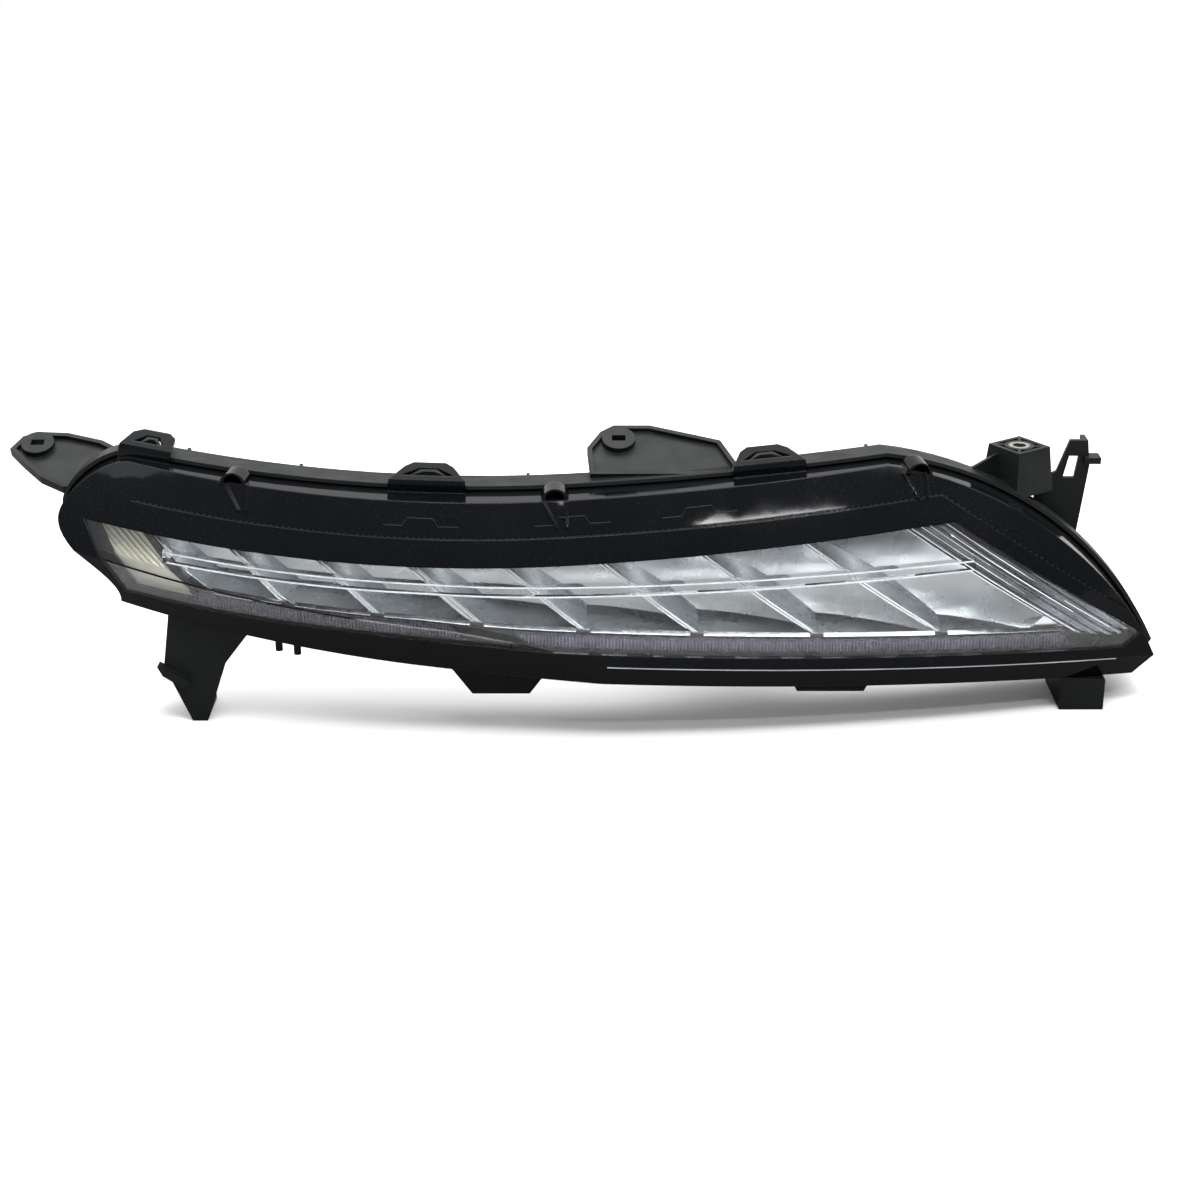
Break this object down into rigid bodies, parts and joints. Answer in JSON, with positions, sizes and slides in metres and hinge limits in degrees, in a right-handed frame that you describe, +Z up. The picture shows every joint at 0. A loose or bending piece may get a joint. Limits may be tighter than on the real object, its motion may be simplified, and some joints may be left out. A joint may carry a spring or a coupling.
{
  "type": "car headlight",
  "caption": "Slim swept car front lamp with gloss black cover, clear window, slanted mirror cells, tabs and rear connector.",
  "frame": {"origin": "on the floor under the middle of the lamp's box", "axes": "+X along the lamp to its outboard tip, +Y back into the car, +Z up"},
  "size_m": [0.7034, 0.1372, 0.1685],
  "materials": {
    "clear_polycarbonate": "clear hard-coated",
    "black_polycarbonate": "high gloss",
    "mask_black": "satin",
    "mirror_coat": "vacuum metallised",
    "cream_plastic": "satin, fluted",
    "clear_acrylic": "clear polished",
    "trim_silver": "dark metallised",
    "ribbed_acrylic": "ribbed",
    "circuit_board": "white solder mask",
    "extruded_aluminium": "as extruded",
    "emitter": "phosphor",
    "housing_plastic": "fine grain",
    "sealant": "dull",
    "plated_steel": "zinc plated",
    "soft_rubber": "dull",
    "cast_aluminium": "die cast",
    "connector_plastic": "fine grain",
    "tin_contact": "tin plated"
  },
  "bodies": {
    "root": {"clear_lens": "clear_polycarbonate", "lens_frame": "black_polycarbonate", "mask": "mask_black", "reflector_left": "mirror_coat", "reflector_right": "mirror_coat", "end_reflector": "cream_plastic", "light_guide": "clear_acrylic", "end_trim": "trim_silver", "fluted_strip_left": "ribbed_acrylic", "fluted_strip_right": "ribbed_acrylic", "led_board_1": "circuit_board", "heat_sink_1": "extruded_aluminium", "led_board_2": "circuit_board", "heat_sink_2": "extruded_aluminium", "led_board_3": "circuit_board", "heat_sink_3": "extruded_aluminium", "led_board_4": "circuit_board", "heat_sink_4": "extruded_aluminium", "led_board_5": "circuit_board", "heat_sink_5": "extruded_aluminium", "led_board_6": "circuit_board", "heat_sink_6": "extruded_aluminium", "led_board_7": "circuit_board", "heat_sink_7": "extruded_aluminium", "led_board_8": "circuit_board", "heat_sink_8": "extruded_aluminium", "led_chips": "emitter", "housing": "housing_plastic", "seal_bead": "sealant", "tower_insert": "plated_steel", "foot_bracket": "housing_plastic", "rest_bracket": "housing_plastic", "driver_gasket": "soft_rubber", "driver_module": "cast_aluminium", "driver_screws": "plated_steel", "connector_seal": "soft_rubber", "connector_socket": "connector_plastic", "connector_pins": "tin_contact", "vent_cap_1": "soft_rubber", "vent_cap_2": "soft_rubber"}
  },
  "joints": []
}
